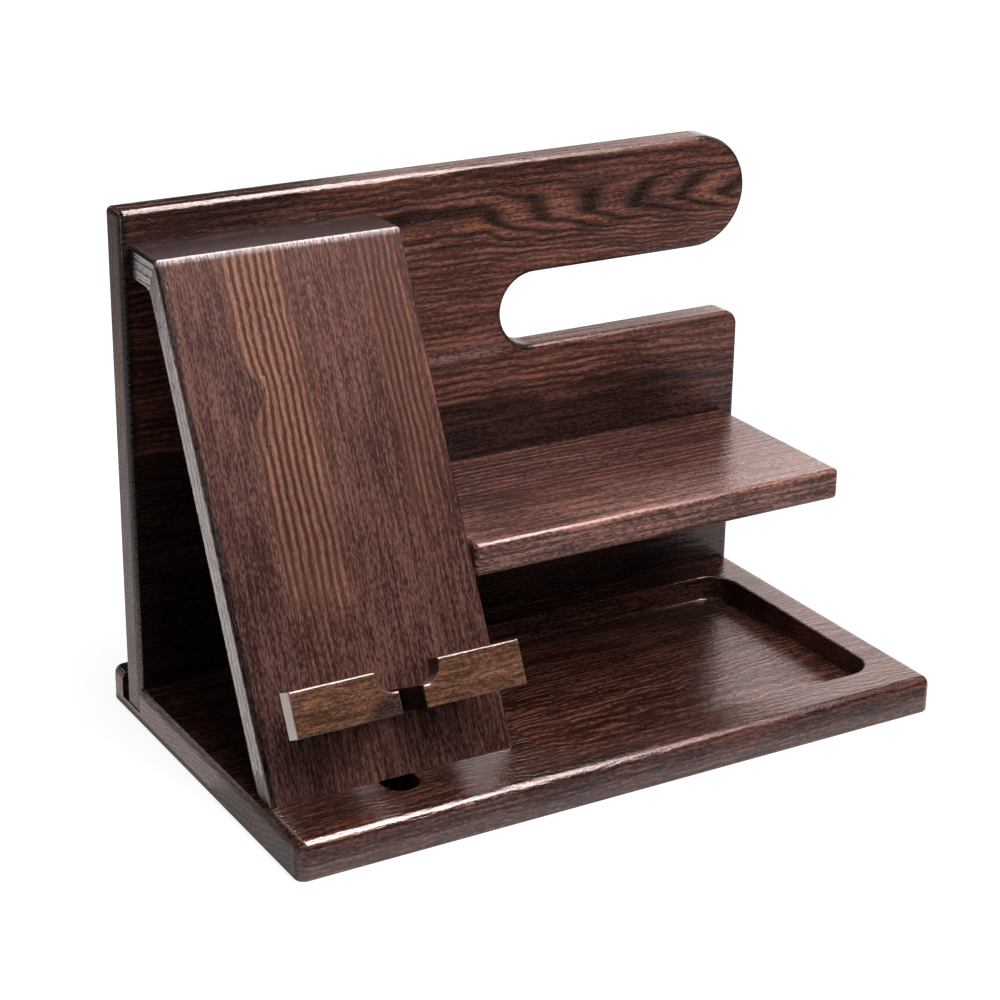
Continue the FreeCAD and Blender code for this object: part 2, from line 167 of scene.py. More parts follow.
def card_paint(name, axis, low, high, dim_end, bright_end, colour=WARM_GLOW):
    """Paint that glows by place: from dim_end at low to bright_end at high along one axis."""
    paint = bpy.data.materials.new(name)
    paint.use_nodes = True
    tree = paint.node_tree
    shader = tree.nodes["Principled BSDF"]
    shader.inputs["Base Color"].default_value = CARD_BLACK
    shader.inputs["Specular IOR Level"].default_value = 0.0
    shader.inputs["Roughness"].default_value = 1.0
    shader.inputs["Emission Color"].default_value = colour
    places = tree.nodes.new("ShaderNodeTexCoord")
    parts = tree.nodes.new("ShaderNodeSeparateXYZ")
    tree.links.new(places.outputs["Object"], parts.inputs[0])
    glow = graded(tree, parts.outputs[axis], low, high, dim_end, bright_end)
    tree.links.new(glow, shader.inputs["Emission Strength"])
    return paint


def hang_card(name, centre, across, up, paint):
    """A painted card that shows only in reflections: it casts no shadow and lights nothing."""
    card = plane(name, centre, across, up)
    card.visible_camera = card.visible_diffuse = card.visible_shadow = False
    card.data.materials.append(paint)


felt = card_paint("black_card", *NO_GLOW)
STANDING_CARDS = {  # where its foot starts and ends on the table, its height and its paint
    "graded_card": ((-0.30, -0.60), (0.80, -0.60), 0.80, card_paint("graded_card", *GRADED_GLOW)),
    "tall_card": ((-0.50, -0.61), (1.00, -0.61), 1.30, felt),
    "front_card": ((-0.25, -0.29), (0.62, -0.29), 0.14, felt),
    "corner_card": ((-0.185, 0.02), (-0.30, -0.36), 0.70, felt),
    "left_card": ((-0.46, -0.36), (-0.46, 0.85), 1.00, felt),
    "back_card": ((-0.46, 0.80), (0.30, 0.80), 1.00, felt),
    "right_card": ((0.50, -0.30), (0.62, 0.28), 0.30, felt),
}
for name, (start, end, height, paint) in STANDING_CARDS.items():
    start, end = Vector((*start, height / 2)), Vector((*end, height / 2))
    hang_card(name, (start + end) / 2, (end - start) / 2, (0, 0, height / 2), paint)

HUNG_CARDS = {  # its centre, half its width, half its height and its glow
    "ceiling_card": ((0.35, 0.10, 1.30), (1.20, 0, 0), (0, 1.20, 0), NO_GLOW),
    "edge_card": ((0.40, 0.125, 1.047), (0.26, 0, 0), (0, 0.725, 0.2385),
                  ("X", 0.40, 0.56, 24.0, 5.0, EDGE_GLOW)),
    "front_felt": ((0.30, -0.195, 0.0035), (0.52, 0, 0), (0, 0.106, 0), HALF_GLOW),
    "tray_card": ((0.875, 0.99, 0.625), (0.055, 0, 0), (0, 0, 0.032), ("X", 0.82, 0.93, 3.7, 3.0)),
    "floor_felt": ((0.45, 0.45, 0.004), (0.30, 0, 0), (0, 0.38, 0), NO_GLOW),
    "high_back_card": ((0.40, 0.80, 0.74), (0.10, 0, 0), (0, 0, 0.26), NO_GLOW),
    "gleam_card": ((0.78, 1.00, 0.8025), (0.55, 0, 0), (0, 0, 0.2975), ("X", 0.765, 0.835, 0.20, 2.35)),
    "low_gleam_card": ((0.78, 1.00, 0.2525), (0.55, 0, 0), (0, 0, 0.2525), ("X", 0.77, 0.87, 1.0, 2.2)),
}
for name, (centre, across, up, glow) in HUNG_CARDS.items():
    hang_card(name, centre, across, up, card_paint(name, *glow))

# Base board: one board of dark-stained ash, 15 mm thick, its grain along the length. A
# tray and a cable channel are milled into its top and a groove for the panel along its
# back; the top edges are rounded over and the whole is given a satin varnish.
MM = 1000.0
LEAN_RANGE = 20.0
ALONG_X, ALONG_Y, ALONG_Z = (1.0, 0.0, 0.0), (0.0, 1.0, 0.0), (0.0, 0.0, 1.0)
DOWN = (0.0, 0.0, -1.0)
END_EDGES, SPOT_EDGES = (0.55, 0.95), (1.0, 0.2)
ARC_EDGES, ARC_WANDER, ARC_WANDER_RINGS = (0.5, 0.8), (60.0, 50.0, 40.0), 6.0


class Finish:
    """A material being put together: a short way to add nodes and join them."""

    def __init__(self, name):
        self.material = bpy.data.materials.new(name)
        self.material.use_nodes = True
        self.tree = self.material.node_tree
        self.shader = self.tree.nodes["Principled BSDF"]

    def put(self, socket, value):
        if isinstance(value, bpy.types.NodeSocket):
            self.tree.links.new(value, socket)
        else:
            socket.default_value = value

    def add(self, kind, settings=None, **values):
        made = self.tree.nodes.new("ShaderNode" + kind)
        for setting, value in (settings or {}).items():
            setattr(made, setting, value)
        for socket, value in values.items():
            self.put(made.inputs[socket.replace("_", " ")], value)
        return made

    def sum(self, operation, *values):
        made = self.add("Math", {"operation": operation})
        for socket, value in zip(made.inputs, values):
            self.put(socket, value)
        return made.outputs[0]

    def vector(self, operation, *values):
        made = self.add("VectorMath", {"operation": operation})
        for socket, value in zip(made.inputs, values):
            self.put(socket, value)
        return made.outputs["Value" if operation == "DOT_PRODUCT" else "Vector"]

    def scaled(self, colour, amount):
        made = self.add("VectorMath", {"operation": "SCALE"}, Scale=amount)
        self.put(made.inputs[0], colour)
        return made.outputs[0]

    def swayed(self, value, noise, swing):
        """The value pushed up and down by a noise, swing from end to end."""
        return self.sum("MULTIPLY_ADD", self.sum("SUBTRACT", noise, 0.5), swing, value)

    def noise(self, board, reach, detail=2.0, roughness=0.5, seed=0.0):
        """Noise whose marks are about reach millimetres along, across and through the board."""
        away = (seed, 1.7 * seed, 0.6 * seed)
        grid = self.vector("MULTIPLY_ADD", board, [1.0 / size for size in reach], away)
        return self.add("TexNoise", Vector=grid, Scale=1.0, Detail=detail, Roughness=roughness).outputs[0]

    def steps(self, value, low, high, bottom=0.0, top=1.0):
        """A soft step from bottom to top while value goes from low to high."""
        made = self.add("MapRange", {"interpolation_type": "SMOOTHSTEP"}, Value=value,
                        From_Min=low, From_Max=high, To_Min=bottom, To_Max=top)
        return made.outputs[0]

    def ramp(self, value, stops):
        made = self.add("ValToRGB", Fac=value)
        band = made.color_ramp
        while len(band.elements) < len(stops):
            band.elements.new(0.5)
        for element, (place, colour) in zip(band.elements, stops):
            element.position = place
            element.color = (*colour, 1.0)
        return made.outputs["Color"]

    def mix(self, share, first, second):
        made = self.add("Mix", {"data_type": "RGBA"})
        for socket, value in zip((made.inputs[0], made.inputs[6], made.inputs[7]), (share, first, second)):
            self.put(socket, (*value, 1.0) if isinstance(value, tuple) else value)
        return made.outputs[2]

    def facing(self, way):
        """How squarely a face looks along a way: 1 along it, -1 against it."""
        return self.vector("DOT_PRODUCT", self.add("TexCoord").outputs["Normal"], way)

    def on_ends(self, way, edges=END_EDGES):
        """1 on the faces that look along a way or against it, 0 on the others."""
        return self.steps(self.sum("ABSOLUTE", self.facing(way)), *edges)

    def board(self, corner, along, across, deep):
        """Millimetres along, across and through a board, from one corner of it."""
        places = self.add("TexCoord").outputs["Object"]
        from_corner = self.vector("MULTIPLY_ADD", places, (MM, MM, MM), [-value for value in corner])
        return [self.vector("DOT_PRODUCT", from_corner, way) for way in (along, across, deep)]

    def together(self, along, across, deep):
        return self.add("CombineXYZ", X=along, Y=across, Z=deep).outputs[0]

    def spot(self, along, across, place, reach):
        """A soft-edged oval patch: 1 inside, 0 outside."""
        from_middle = [self.sum("MULTIPLY_ADD", way, 1.0 / size, -middle / size)
                       for way, middle, size in zip((along, across), place, reach)]
        square = self.sum("MULTIPLY", from_middle[0], from_middle[0])
        return self.steps(self.sum("MULTIPLY_ADD", from_middle[1], from_middle[1], square), *SPOT_EDGES)

    def end_rings(self, rings, board, across, deep, per_mm_across, per_mm_deep):
        """On the end grain the rings show as long low arcs instead."""
        arcs = self.sum("MULTIPLY_ADD", across, per_mm_across, self.sum("MULTIPLY", deep, per_mm_deep))
        arcs = self.sum("MULTIPLY_ADD", self.noise(board, ARC_WANDER, 1.0), ARC_WANDER_RINGS, arcs)
        on_end = self.on_ends(ALONG_X, ARC_EDGES)
        return self.add("Mix", {"data_type": "FLOAT"}, Factor=on_end, A=rings, B=arcs).outputs[0]

    def figure(self, across, stops):
        """Read off across the board: rings counted, their lean, and how plainly they show."""
        width = stops[-1][0]
        most = max(stop[1] for stop in stops)
        band = self.ramp(self.sum("DIVIDE", across, width),
                         [(place / width, (rings / most, lean / LEAN_RANGE + 0.5, strength))
                          for place, rings, lean, strength in stops])
        rings, lean, strength = self.add("SeparateColor", Color=band).outputs[:3]
        lean = self.sum("MULTIPLY_ADD", lean, LEAN_RANGE / 100.0, -LEAN_RANGE / 200.0)
        return self.sum("MULTIPLY", rings, most), lean, strength


PAINTED_GLINT_COLOUR = (1.0, 0.93, 0.90)  # the colour of the pale glints painted on the fine marks of the grain: a painted sheen
FIBRE_SIZE, BLOTCH_SIZE = (30.0, 1.3, 1.3), (50.0, 14.0, 14.0)
ROW_RAGGED, ROW_SOFT, END_ROWS = 1.8, 0.22, 0.7
SUMMER_BLOTCH, SUMMER_START, SUMMER_FULL = 0.8, 0.55, 0.75
BLOTCH_SHARE, MARK_EDGES = 0.14, (0.42, 0.62)
MARK_SPAN, MARK_FLOOR, ROW_HIDES_GLINT = 1.9, 0.7, 0.7
ROW_DEPTH, END_ROW_DEPTH, SPECK_HEIGHT, FIBRE_HEIGHT = -0.6, -1.8, 0.8, 0.9
RELIEF_METRES, END_RELIEF = 0.00035, -0.55
GLOSS_EDGES, GLOSS, ROW_MATT = (0.42, 0.58), (0.22, 0.11), 0.03
VARNISH_TINT = (1.0, 0.88, 0.86, 1.0)


def stained_ash(make, board, rings, strength, ground, summer, spring, seed, grain_way,
                speckle=0.6, dark_share=0.42, relief=0.9, specks=(2.4, 0.8, 0.8), streaks=0.36,
                painted_glint=0.012, calm=1.0, ior=1.6, end_dull=0.42, end_tone=None):
    """Stained, varnished ash: dark pore rows along the rings, specks and fibres along the grain."""
    speck = make.noise(board, specks, 2.0, 0.6, seed)
    fibre = make.noise(board, FIBRE_SIZE, 2.0, 0.55, seed + 3.0)
    blotch = make.noise(board, BLOTCH_SIZE, 2.0, 0.5, seed + 7.0)
    on_left_and_right = make.on_ends(ALONG_X)
    on_end_grain = make.on_ends(grain_way)

    from_row = make.sum("ABSOLUTE", make.sum("SUBTRACT", make.sum("FRACT", rings), 0.5))
    near_row = make.swayed(make.sum("MULTIPLY", from_row, 2.0), speck, ROW_RAGGED)
    row = make.steps(near_row, 1.0 - ROW_SOFT - dark_share, 1.0 + ROW_SOFT - dark_share)
    shown = make.sum("MAXIMUM", strength, make.sum("MULTIPLY", on_left_and_right, END_ROWS))
    row = make.sum("MULTIPLY", row, shown)

    summery = make.sum("MULTIPLY_ADD", blotch, SUMMER_BLOTCH, make.sum("SUBTRACT", strength, SUMMER_START))
    tone = make.mix(make.steps(summery, 0.0, SUMMER_FULL), ground, summer)
    tone = make.mix(row, tone, spring)
    grain = make.sum("MULTIPLY_ADD", fibre, streaks, make.sum("MULTIPLY", blotch, BLOTCH_SHARE))
    grain = make.sum("MULTIPLY_ADD", speck, 1.0 - BLOTCH_SHARE - streaks, grain)
    mark = make.swayed(0.5, make.steps(grain, *MARK_EDGES), calm)
    lightness = make.sum("MULTIPLY_ADD", mark, MARK_SPAN * speckle, 1.0 - MARK_FLOOR * speckle)
    tone = make.scaled(tone, lightness)
    # Painted highlight: pale glints are added to the colour on the fine light marks, fewer on the pore
    # rows, for the varnish's sparkle.
    glint = make.sum("MULTIPLY", mark, make.sum("MULTIPLY_ADD", row, -ROW_HIDES_GLINT * painted_glint, painted_glint))
    tone = make.vector("ADD", tone, make.scaled(PAINTED_GLINT_COLOUR, glint))
    if end_tone:
        tone = make.mix(on_end_grain, tone, end_tone)

    groove = make.sum("MULTIPLY", row,
                      make.sum("MULTIPLY_ADD", on_left_and_right, END_ROW_DEPTH, ROW_DEPTH))
    fibres = make.sum("MULTIPLY", fibre, FIBRE_HEIGHT)
    height = make.sum("ADD", groove, make.sum("MULTIPLY_ADD", speck, SPECK_HEIGHT, fibres))
    firmness = make.sum("MULTIPLY_ADD", on_left_and_right, END_RELIEF * relief, relief)
    wood = make.add("Bump", Height=height, Distance=RELIEF_METRES, Strength=firmness)
    dullness = make.sum("MULTIPLY_ADD", row, ROW_MATT, make.steps(grain, *GLOSS_EDGES, *GLOSS))
    dullness = make.sum("MULTIPLY_ADD", on_end_grain, end_dull, dullness)

    shader = make.shader
    make.put(shader.inputs["Base Color"], tone)
    make.put(shader.inputs["Normal"], wood.outputs[0])
    make.put(shader.inputs["Roughness"], dullness)
    shader.inputs["IOR"].default_value = ior
    shader.inputs["Specular Tint"].default_value = VARNISH_TINT
    return make.material


def finish_node(node, material):
    """Give a piece its finish."""
    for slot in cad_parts[node].material_slots:
        slot.material = material


BASE_CORNER = (-140.0, -84.75, 15.0)
BASE_FIGURE = [  # millimetres from the front edge, rings, lean per 100 mm, strength
    (0.0, 0.0, 0.0, 0.50), (26.0, 9.0, 0.0, 0.60), (34.0, 11.8, 1.0, 0.75), (62.0, 21.0, -1.0, 0.75),
    (85.0, 29.0, -1.0, 0.60), (130.0, 43.0, 0.5, 0.45), (169.5, 56.0, 0.0, 0.50)]
BASE_RINGS_DEEP = -0.45
BASE_WANDER, BASE_WANDER_SWING = (48.0, 26.0, 60.0), 15.0
BASE_RIPPLE, BASE_RIPPLE_RINGS = (12.0, 13.0, 16.0), 1.6
BASE_END_ARCS = (0.06, -0.45)
BASE_TOP_TONE, BASE_FRONT_SHEEN_TONE = (0.048, 0.0135, 0.0085), (0.124, 0.0490, 0.0450)
BASE_SUMMER, BASE_SPRING = (0.088, 0.0270, 0.0160), (0.010, 0.0026, 0.0016)
FRONT_FADE = (7.0, -1.0)
FOOT_SHADOW, UNDERSIDE, FOOT_SHADOW_TONE = (13.6, 14.7), (14.98, 14.90), (0.012, 0.0050, 0.0040)
GREY_PATCH_PLACE, GREY_PATCH_SIZE, GREY_PATCH_TONE = (143.0, 23.0), (11.0, 7.0), (0.075, 0.0480, 0.0420)

make = Finish("base_ash")
along, across, deep = make.board(BASE_CORNER, ALONG_X, ALONG_Y, DOWN)
board = make.together(along, across, deep)
across = make.swayed(across, make.noise(board, BASE_WANDER, 2.0, 0.5, 1.3), BASE_WANDER_SWING)
rings, lean, strength = make.figure(across, BASE_FIGURE)
rings = make.sum("MULTIPLY_ADD", deep, BASE_RINGS_DEEP, rings)
rings = make.sum("ADD", rings, make.sum("MULTIPLY", lean, along))
ripple = make.noise(board, BASE_RIPPLE, 1.0, 0.5, 2.6)
rings = make.sum("MULTIPLY_ADD", ripple, BASE_RIPPLE_RINGS, rings)
rings = make.end_rings(rings, board, across, deep, *BASE_END_ARCS)
# The front face and its round are painted lighter and greyer than the top: painted sheen, for the
# reflection the front catches.
ground = make.mix(make.steps(across, *FRONT_FADE), BASE_TOP_TONE, BASE_FRONT_SHEEN_TONE)
# A dark line painted round the lowest millimetre of the sides, above the underside: painted shadow where
# the base meets the table.
foot_shadow = make.sum("MULTIPLY", make.steps(deep, *FOOT_SHADOW), make.steps(deep, *UNDERSIDE))
ground = make.mix(foot_shadow, ground, FOOT_SHADOW_TONE)
# A soft pale grey oval on the top, just right of the middle and near the front.
ground = make.mix(make.spot(along, across, GREY_PATCH_PLACE, GREY_PATCH_SIZE), ground, GREY_PATCH_TONE)
finish_node("base_board", stained_ash(
    make, board, rings, strength, ground, BASE_SUMMER, BASE_SPRING, 11.0, ALONG_X,
    speckle=1.0, dark_share=0.42, relief=0.5, painted_glint=0.022))

# Back panel: one upright board of the same ash, 13 mm thick, with its grain level. Its
# slot and round-ended arm are sawn out and sanded round, and it stands in the groove of
# the base with three screws up into its lower edge.
PANEL_CORNER = (-139.6, 56.85, 0.0)
PANEL_FIGURE = [  # millimetres up from the table, rings, lean per 100 mm, strength
    (0.0, 0.0, 0.0, 0.35), (84.0, 17.0, 0.0, 0.35), (97.0, 20.0, 0.4, 0.40), (101.0, 20.7, 1.0, 0.85),
    (110.0, 21.2, 1.5, 0.90), (113.0, 22.2, 1.5, 0.65), (119.0, 24.2, 1.2, 0.75),
    (126.0, 26.2, 0.6, 0.75), (129.5, 26.5, 0.3, 0.35), (133.0, 27.4, 0.0, 0.55),
    (160.0, 36.4, 0.6, 0.60), (176.0, 41.4, 4.6, 0.85), (182.0, 42.6, 4.6, 0.95),
    (191.0, 43.1, 3.6, 0.95), (195.0, 44.5, 0.8, 0.60), (206.3, 48.0, 0.0, 0.70)]
PANEL_LEAN_FROM = 150.0
PANEL_RINGS_DEEP = 0.22
PANEL_WANDER, PANEL_WANDER_SWING = (60.0, 30.0, 60.0), 6.0
PANEL_RIPPLE, PANEL_RIPPLE_SWING = (13.0, 11.0, 20.0), 4.2
PANEL_END_ARCS = (0.03, 0.45)
DARK_BAND = (99.0, 121.0)
BAND_GROUND, PANEL_GROUND = (0.014, 0.0040, 0.0032), (0.076, 0.0240, 0.0165)
BAND_SUMMER, PANEL_SUMMER = (0.026, 0.0080, 0.0062), (0.168, 0.0620, 0.0430)
PANEL_SPRING = (0.022, 0.0080, 0.0055)
LEFT_END, LEFT_END_TOP, LEFT_SHADE = (125.0, 60.0), (180.0, 194.0), -0.55
RIGHT_END, RIGHT_END_TOP, RIGHT_SHADE = (175.0, 200.0), (178.0, 188.0), -0.20
LENS_PLACE, LENS_SIZE, LENS_TONE = (145.0, 129.0), (26.0, 4.5), (0.150, 0.0680, 0.0590)
LENS_HIDES_ROWS = -0.7
EMBER_PLACE, EMBER_SIZE, EMBER_TONE = (151.0, 183.0), (7.0, 3.0), (0.240, 0.0800, 0.0330)
LIT_PATCH_ALONG, LIT_PATCH_UP, LIT_PATCH_TONE = (234.0, 268.0, 0.0, 0.55), (88.0, 98.0), (0.170, 0.0620, 0.0460)
PANEL_ARRIS, PANEL_ARRIS_TONE = (5.0, 2.0), (0.012, 0.0070, 0.0060)
EDGE_SHADE_TONE = (0.010, 0.0050, 0.0045)
ARM_MIDDLE, ARM_OUTLINE, ARM_UP, ARM_FADE = (255.7, 182.8), (21.2, 22.2), (150.0, 156.0), 4.0
SLOT_MIDDLE, SLOT_OUTLINE, SLOT_FADE = (177.4, 144.0), (17.6, 16.6), 3.0
SLOT_TOP, SLOT_TOP_LINE = 159.8, (1.4, 0.6)
RIGHT_EDGE, RIGHT_EDGE_UP = (276.9, 277.9), (128.0, 124.0)

make = Finish("panel_ash")
face_along, face_up, deep = make.board(PANEL_CORNER, ALONG_X, ALONG_Z, ALONG_Y)
along, board = face_along, make.together(face_along, face_up, deep)
wander = make.noise(board, PANEL_WANDER, 2.0, 0.5, 5.1)
wavy = make.noise(board, PANEL_RIPPLE, 1.0, 0.5, 8.4)
across = make.swayed(face_up, wander, PANEL_WANDER_SWING)
across = make.swayed(across, wavy, PANEL_RIPPLE_SWING)
rings, lean, strength = make.figure(across, PANEL_FIGURE)
past = make.sum("MAXIMUM", make.sum("SUBTRACT", along, PANEL_LEAN_FROM), 0.0)
rings = make.sum("MULTIPLY_ADD", deep, PANEL_RINGS_DEEP, rings)
rings = make.sum("ADD", rings, make.sum("MULTIPLY", lean, past))
rings = make.end_rings(rings, board, across, deep, *PANEL_END_ARCS)

above_band = make.steps(across, *DARK_BAND)
left_end = make.sum("MULTIPLY", make.steps(along, *LEFT_END), make.steps(across, *LEFT_END_TOP))
right_end = make.sum("MULTIPLY", make.steps(along, *RIGHT_END), make.steps(across, *RIGHT_END_TOP))
shade = make.sum("MULTIPLY_ADD", left_end, LEFT_SHADE, 1.0)
shade = make.sum("MULTIPLY_ADD", right_end, RIGHT_SHADE, shade)
lens = make.spot(along, across, LENS_PLACE, LENS_SIZE)
ember = make.spot(along, across, EMBER_PLACE, EMBER_SIZE)
ground = make.scaled(make.mix(above_band, BAND_GROUND, PANEL_GROUND), shade)
ground = make.mix(lens, ground, LENS_TONE)
summer = make.scaled(make.mix(above_band, BAND_SUMMER, PANEL_SUMMER), shade)
summer = make.mix(ember, summer, EMBER_TONE)
strength = make.sum("MULTIPLY", strength, make.sum("MULTIPLY_ADD", lens, LENS_HIDES_ROWS, 1.0))


def out_from(along, across, middle):
    """How far a point is from middle, both in millimetres on the board's face."""
    gaps = [make.sum("SUBTRACT", way, value) for way, value in zip((along, across), middle)]
    square = make.sum("MULTIPLY", gaps[0], gaps[0])
    return make.sum("SQRT", make.sum("MULTIPLY_ADD", gaps[1], gaps[1], square))


def right_of(place, fade):
    """1 right of a place along the face and 0 left of it; a fade below 0 turns this round."""
    return make.steps(face_along, place - fade, place + fade)


# A thin dark line is painted along the rounded edges of the arm's end, the slot and the panel's right
# edge: painted shade, for the dark that these edges face and mirror.
arm_end = make.sum("MULTIPLY", make.steps(out_from(face_along, face_up, ARM_MIDDLE), *ARM_OUTLINE),
                   make.sum("MULTIPLY", right_of(ARM_MIDDLE[0], ARM_FADE),
                            make.steps(face_up, *ARM_UP)))
slot_end = make.sum("MULTIPLY", make.steps(out_from(face_along, face_up, SLOT_MIDDLE), *SLOT_OUTLINE),
                    right_of(SLOT_MIDDLE[0], -SLOT_FADE))
from_slot_top = make.sum("ABSOLUTE", make.sum("SUBTRACT", face_up, SLOT_TOP))
slot_top = make.sum("MULTIPLY", make.steps(from_slot_top, *SLOT_TOP_LINE),
                    right_of(SLOT_MIDDLE[0], SLOT_FADE))
right_edge = make.sum("MULTIPLY", make.steps(face_along, *RIGHT_EDGE), make.steps(face_up, *RIGHT_EDGE_UP))
edge_shade = make.sum("MAXIMUM", make.sum("MAXIMUM", arm_end, slot_end),
                   make.sum("MAXIMUM", slot_top, right_edge))

# A lighter patch painted on the panel's right end, from just above the shelf upwards: painted light where
# the lamps reach it.
lit_patch = make.sum("MULTIPLY", make.steps(along, *LIT_PATCH_ALONG), make.steps(across, *LIT_PATCH_UP))
arris = make.steps(make.sum("ADD", along, deep), *PANEL_ARRIS)
for where, colour in ((lit_patch, LIT_PATCH_TONE), (arris, PANEL_ARRIS_TONE), (edge_shade, EDGE_SHADE_TONE)):
    ground, summer = (make.mix(where, tone, colour) for tone in (ground, summer))
finish_node("back_panel", stained_ash(
    make, board, rings, strength, ground, summer, PANEL_SPRING, 23.0, ALONG_X,
    speckle=0.80, dark_share=0.44, relief=0.7, painted_glint=0.016, ior=1.5))

# Phone plate: a sloping ash board, 11 mm thick, with its grain up the face. Its foot is
# cut level and screwed to the base, and its top is glued to the stand top in a mitre.
TILT = math.radians(26.307)
UP_SLOPE = (0.0, math.sin(TILT), math.cos(TILT))
INTO_PLATE = (0.0, math.cos(TILT), -math.sin(TILT))
PLATE_CORNER = (-136.4, -55.95, 15.0)
PLATE_FIGURE = [  # millimetres from the left edge, rings, lean per 100 mm, strength
    (0.0, 0.0, 0.0, 0.16), (21.0, 3.0, 0.0, 0.14), (25.0, 4.0, 0.0, 0.90), (28.0, 4.9, 0.0, 1.0),
    (45.5, 10.4, 0.0, 1.0), (48.0, 11.2, 0.0, 0.62), (52.0, 13.0, 0.0, 0.55), (54.5, 14.0, 0.0, 0.22),
    (78.0, 22.4, 0.0, 0.22), (81.0, 23.4, 0.0, 0.86), (94.0, 28.1, 0.0, 0.86),
    (100.0, 30.2, 0.0, 0.35)]
PLATE_RINGS_DEEP = 0.30
PLATE_WANDER, PLATE_WANDER_SWING = (75.0, 60.0, 40.0), 7.0
PLATE_RIPPLE, PLATE_RIPPLE_SWING = (16.0, 9.0, 20.0), 2.4
SWIRL_HEIGHT, SWIRL_SPREAD, SWIRL_BEND = 147.0, 7.0, -0.2
SWIRL_PUSH = (50.0, 24.0, 0.0, 8.0)
STRIPE_FADE, FADE_LEAN_FROM, FADE_LEAN = (48.0, 92.0, 0.45, 1.0), 60.0, 0.8
GROUND_PAINTED_LIGHT, SUMMER_PAINTED_LIGHT = (20.0, 200.0, 0.90, 1.15), (70.0, 190.0, 0.62, 1.10)
GROUND_ACROSS, STRIPES_ACROSS, RIGHT_ACROSS = (12.0, 60.0), (44.0, 53.0), (77.0, 81.0)
LEFT_GROUND, RIGHT_GROUND = (0.074, 0.0242, 0.0176), (0.083, 0.0268, 0.0190)
STRIPE_SUMMER, MIDDLE_SUMMER = (0.255, 0.105, 0.0680), (0.150, 0.0520, 0.0350)
STRIPE_SPRING = (0.052, 0.0120, 0.0060)
RIGHT_SUMMER, RIGHT_SPRING = (0.160, 0.0520, 0.0320), (0.028, 0.0070, 0.0040)
PLATE_ARRIS_ACROSS, PLATE_ARRIS_DEEP, PLATE_ARRIS = 0.8, 1.4, (1.9, 0.7)
PLATE_ARRIS_TONE = (0.010, 0.0045, 0.0035)
NOSE_GLINT_ALONG, NOSE_GLINT_TONE = (196.8, 198.8), (0.400, 0.310, 0.310)
CALM_ROWS, CALM_SHARE = (0.5, 1.0), -0.45
SIDE_EDGES = (-0.6, -0.95)
LIT_SIDE_TONES = (0.290, 0.175, 0.175), (0.360, 0.230, 0.230), (0.060, 0.030, 0.030)

make = Finish("plate_ash")
along, across, deep = make.board(PLATE_CORNER, UP_SLOPE, ALONG_X, INTO_PLATE)
board = make.together(along, across, deep)
wander = make.noise(board, PLATE_WANDER, 2.0, 0.45, 3.7)
wavy = make.noise(board, PLATE_RIPPLE, 1.0, 0.5, 5.7)
away = make.sum("DIVIDE", make.sum("SUBTRACT", along, SWIRL_HEIGHT), SWIRL_SPREAD)
swirl = make.sum("EXPONENT", make.sum("MULTIPLY", make.sum("MULTIPLY", away, away), -1.0))
swirl = make.sum("MULTIPLY", swirl, make.steps(across, *SWIRL_PUSH))
lines = make.swayed(across, wander, PLATE_WANDER_SWING)
lines = make.swayed(make.sum("MULTIPLY_ADD", swirl, SWIRL_BEND, lines), wavy, PLATE_RIPPLE_SWING)
rings, _, _ = make.figure(lines, PLATE_FIGURE)
_, _, strength = make.figure(make.sum("SUBTRACT", lines, swirl), PLATE_FIGURE)
rings = make.sum("MULTIPLY_ADD", deep, PLATE_RINGS_DEEP, rings)
past = make.sum("MAXIMUM", make.sum("SUBTRACT", across, FADE_LEAN_FROM), 0.0)
height = make.sum("SUBTRACT", along, make.sum("MULTIPLY", past, FADE_LEAN))
strength = make.sum("MULTIPLY", strength, make.steps(height, *STRIPE_FADE))

right = make.steps(across, *RIGHT_ACROSS)
ground = make.mix(make.steps(across, *GROUND_ACROSS), LEFT_GROUND, RIGHT_GROUND)
summer = make.mix(make.steps(across, *STRIPES_ACROSS), STRIPE_SUMMER, MIDDLE_SUMMER)
# Painted light and shade: the summer wood is painted lighter towards the plate's top and darker towards
# its foot.
summer = make.scaled(make.mix(right, summer, RIGHT_SUMMER), make.steps(along, *SUMMER_PAINTED_LIGHT))
spring = make.mix(right, STRIPE_SPRING, RIGHT_SPRING)
from_arris = make.sum("ABSOLUTE", make.sum("SUBTRACT", across, PLATE_ARRIS_ACROSS))
from_arris = make.sum("ADD", make.sum("MULTIPLY", deep, PLATE_ARRIS_DEEP), from_arris)
ground = make.mix(make.steps(from_arris, *PLATE_ARRIS), ground, PLATE_ARRIS_TONE)
# A pale band painted across the top of the plate at its nose: a painted highlight on the rounded edge.
nose_glint = make.steps(along, *NOSE_GLINT_ALONG)
# The left side face is painted lighter and pinker: painted light, for the light it catches from the left.
lit_left_side = make.steps(make.facing(ALONG_X), *SIDE_EDGES)
ground, summer, spring = (
    make.mix(lit_left_side, make.mix(nose_glint, tone, NOSE_GLINT_TONE), lit_side_tone)
    for tone, lit_side_tone in zip((ground, summer, spring), LIT_SIDE_TONES))
# Painted light and shade: the ground is painted lighter towards the plate's top and darker towards its
# foot.
ground = make.scaled(ground, make.steps(along, *GROUND_PAINTED_LIGHT))
calm = make.sum("MULTIPLY_ADD", make.steps(strength, *CALM_ROWS), CALM_SHARE, 1.0)
finish_node("phone_plate", stained_ash(
    make, board, rings, strength, ground, summer, spring, 33.7, UP_SLOPE,
    speckle=0.80, dark_share=0.44, relief=1.0, specks=(2.4, 0.55, 0.55), streaks=0.34,
    painted_glint=0.048, calm=calm, ior=1.5))

